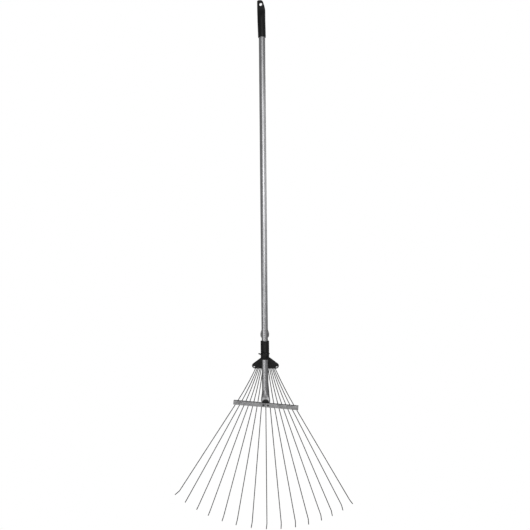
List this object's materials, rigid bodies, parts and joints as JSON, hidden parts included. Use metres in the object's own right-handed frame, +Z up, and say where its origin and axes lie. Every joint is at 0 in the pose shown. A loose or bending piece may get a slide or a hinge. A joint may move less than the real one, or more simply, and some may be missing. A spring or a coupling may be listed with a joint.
{
  "type": "leaf rake",
  "caption": "Adjustable fan rake: hooked spring-wire tines pivot in a clamped slider on a tube handle and spread through a slotted crossbar; hang hole in the cap",
  "frame": {"origin": "centre of the hang hole in the cap, halfway through its thickness", "axes": "+Z up along the handle towards the cap, -Y to the front (the side the tine tips are bent towards), +X to the right seen from the front"},
  "size_m": [0.533, 0.0511, 1.5769],
  "materials": {
    "satin_tube": "satin drawn tube",
    "black_plastic": "fine moulded grain",
    "zinc_sheet": "dull zinc-plated sheet",
    "spring_wire": "zinc-plated spring wire",
    "zinc_fastener": "bright zinc plate",
    "spring_steel": "dark tempered strip"
  },
  "bodies": {
    "handle": {"handle_tube": "satin_tube", "grip_cap": "black_plastic", "crossbar": "zinc_sheet", "crossbar_rivet_left": "zinc_fastener", "crossbar_rivet_right": "zinc_fastener", "catch_spring": "spring_steel"},
    "slider": {"slider_body": "black_plastic", "slider_back_cover": "black_plastic", "slider_rivet_left": "zinc_fastener", "slider_rivet_right": "zinc_fastener", "clamp_nut": "zinc_fastener", "tine_centre": "spring_wire"},
    "clamp_pad": {"clamp_pad": "black_plastic"},
    "wing_screw": {"clamp_stud": "zinc_fastener", "clamp_washer": "zinc_fastener", "wing_knob": "black_plastic"},
    "catch_left": {"catch_left": "spring_steel"},
    "catch_right": {"catch_right": "spring_steel"},
    "left_tine_1": {"tine_left_1": "spring_wire"},
    "left_tine_2": {"tine_left_2": "spring_wire"},
    "left_tine_3": {"tine_left_3": "spring_wire"},
    "left_tine_4": {"tine_left_4": "spring_wire"},
    "left_tine_5": {"tine_left_5": "spring_wire"},
    "left_tine_6": {"tine_left_6": "spring_wire"},
    "left_tine_7": {"tine_left_7": "spring_wire"},
    "right_tine_1": {"tine_right_1": "spring_wire"},
    "right_tine_2": {"tine_right_2": "spring_wire"},
    "right_tine_3": {"tine_right_3": "spring_wire"},
    "right_tine_4": {"tine_right_4": "spring_wire"},
    "right_tine_5": {"tine_right_5": "spring_wire"},
    "right_tine_6": {"tine_right_6": "spring_wire"},
    "right_tine_7": {"tine_right_7": "spring_wire"}
  },
  "joints": [
    {"name": "slider_slide", "type": "slide", "parent": "handle", "child": "slider", "axis": [0, 0, 1], "range_m": [0, 0.095], "deforming": ["catch_spring", "catch_left", "catch_right"]},
    {"name": "wing_screw_turn", "type": "hinge", "parent": "clamp_pad", "child": "wing_screw", "pos_m": [0.0028, -0.0257, -1.045], "axis": [0, -1, 0], "range_deg": [0, 540.01]},
    {"name": "clamp_pad_slide", "type": "slide", "parent": "slider", "child": "clamp_pad", "axis": [0, -1, 0], "range_m": [0, 0.0015]},
    {"name": "catch_left_press", "type": "slide", "parent": "handle", "child": "catch_left", "axis": [1, 0, 0], "range_m": [0, 0.0033], "stiffness_N_per_m": 300, "springref_m": -0.003, "deforming": ["catch_spring"]},
    {"name": "catch_right_press", "type": "slide", "parent": "handle", "child": "catch_right", "axis": [-1, 0, 0], "range_m": [0, 0.0033], "stiffness_N_per_m": 300, "springref_m": -0.003, "deforming": ["catch_spring"]},
    {"name": "left_tine_1_swing", "type": "hinge", "parent": "slider", "child": "left_tine_1", "pos_m": [-0.00049, 0.0135, -1.075], "axis": [0, -1, 0], "range_deg": [0, 2.24]},
    {"name": "left_tine_2_swing", "type": "hinge", "parent": "slider", "child": "left_tine_2", "pos_m": [-0.00434, 0.0135, -1.081], "axis": [0, -1, 0], "range_deg": [0, 4.66]},
    {"name": "left_tine_3_swing", "type": "hinge", "parent": "slider", "child": "left_tine_3", "pos_m": [-0.00706, 0.0135, -1.075], "axis": [0, -1, 0], "range_deg": [0, 6.61]},
    {"name": "left_tine_4_swing", "type": "hinge", "parent": "slider", "child": "left_tine_4", "pos_m": [-0.01149, 0.0135, -1.081], "axis": [0, -1, 0], "range_deg": [0, 9.01]},
    {"name": "left_tine_5_swing", "type": "hinge", "parent": "slider", "child": "left_tine_5", "pos_m": [-0.01363, 0.0135, -1.075], "axis": [0, -1, 0], "range_deg": [0, 10.49]},
    {"name": "left_tine_6_swing", "type": "hinge", "parent": "slider", "child": "left_tine_6", "pos_m": [-0.01863, 0.0135, -1.081], "axis": [0, -1, 0], "range_deg": [0, 12.69]},
    {"name": "left_tine_7_swing", "type": "hinge", "parent": "slider", "child": "left_tine_7", "pos_m": [-0.0202, 0.0135, -1.075], "axis": [0, -1, 0], "range_deg": [0, 13.62]},
    {"name": "right_tine_1_swing", "type": "hinge", "parent": "slider", "child": "right_tine_1", "pos_m": [0.00609, 0.0135, -1.075], "axis": [0, 1, 0], "range_deg": [0, 2.13]},
    {"name": "right_tine_2_swing", "type": "hinge", "parent": "slider", "child": "right_tine_2", "pos_m": [0.00994, 0.0135, -1.081], "axis": [0, 1, 0], "range_deg": [0, 4.34]},
    {"name": "right_tine_3_swing", "type": "hinge", "parent": "slider", "child": "right_tine_3", "pos_m": [0.01266, 0.0135, -1.075], "axis": [0, 1, 0], "range_deg": [0, 6.05]},
    {"name": "right_tine_4_swing", "type": "hinge", "parent": "slider", "child": "right_tine_4", "pos_m": [0.01709, 0.0135, -1.081], "axis": [0, 1, 0], "range_deg": [0, 8.09]},
    {"name": "right_tine_5_swing", "type": "hinge", "parent": "slider", "child": "right_tine_5", "pos_m": [0.01923, 0.0135, -1.075], "axis": [0, 1, 0], "range_deg": [0, 9.3]},
    {"name": "right_tine_6_swing", "type": "hinge", "parent": "slider", "child": "right_tine_6", "pos_m": [0.02423, 0.0135, -1.081], "axis": [0, 1, 0], "range_deg": [0, 11.06]},
    {"name": "right_tine_7_swing", "type": "hinge", "parent": "slider", "child": "right_tine_7", "pos_m": [0.0258, 0.0135, -1.075], "axis": [0, 1, 0], "range_deg": [0, 11.79]}
  ],
  "couplings": [
    {"joint": "wing_screw_turn", "follows": "clamp_pad_slide", "rad_per_m": 6283.2},
    {"joint": "left_tine_1_swing", "follows": "slider_slide", "rad_per_m": 0.41038},
    {"joint": "left_tine_2_swing", "follows": "slider_slide", "rad_per_m": 0.85467},
    {"joint": "left_tine_3_swing", "follows": "slider_slide", "rad_per_m": 1.2132},
    {"joint": "left_tine_4_swing", "follows": "slider_slide", "rad_per_m": 1.6553},
    {"joint": "left_tine_5_swing", "follows": "slider_slide", "rad_per_m": 1.9271},
    {"joint": "left_tine_6_swing", "follows": "slider_slide", "rad_per_m": 2.3302},
    {"joint": "left_tine_7_swing", "follows": "slider_slide", "rad_per_m": 2.5014},
    {"joint": "right_tine_1_swing", "follows": "slider_slide", "rad_per_m": 0.39033},
    {"joint": "right_tine_2_swing", "follows": "slider_slide", "rad_per_m": 0.79571},
    {"joint": "right_tine_3_swing", "follows": "slider_slide", "rad_per_m": 1.1101},
    {"joint": "right_tine_4_swing", "follows": "slider_slide", "rad_per_m": 1.4851},
    {"joint": "right_tine_5_swing", "follows": "slider_slide", "rad_per_m": 1.7082},
    {"joint": "right_tine_6_swing", "follows": "slider_slide", "rad_per_m": 2.0314},
    {"joint": "right_tine_7_swing", "follows": "slider_slide", "rad_per_m": 2.1656}
  ]
}
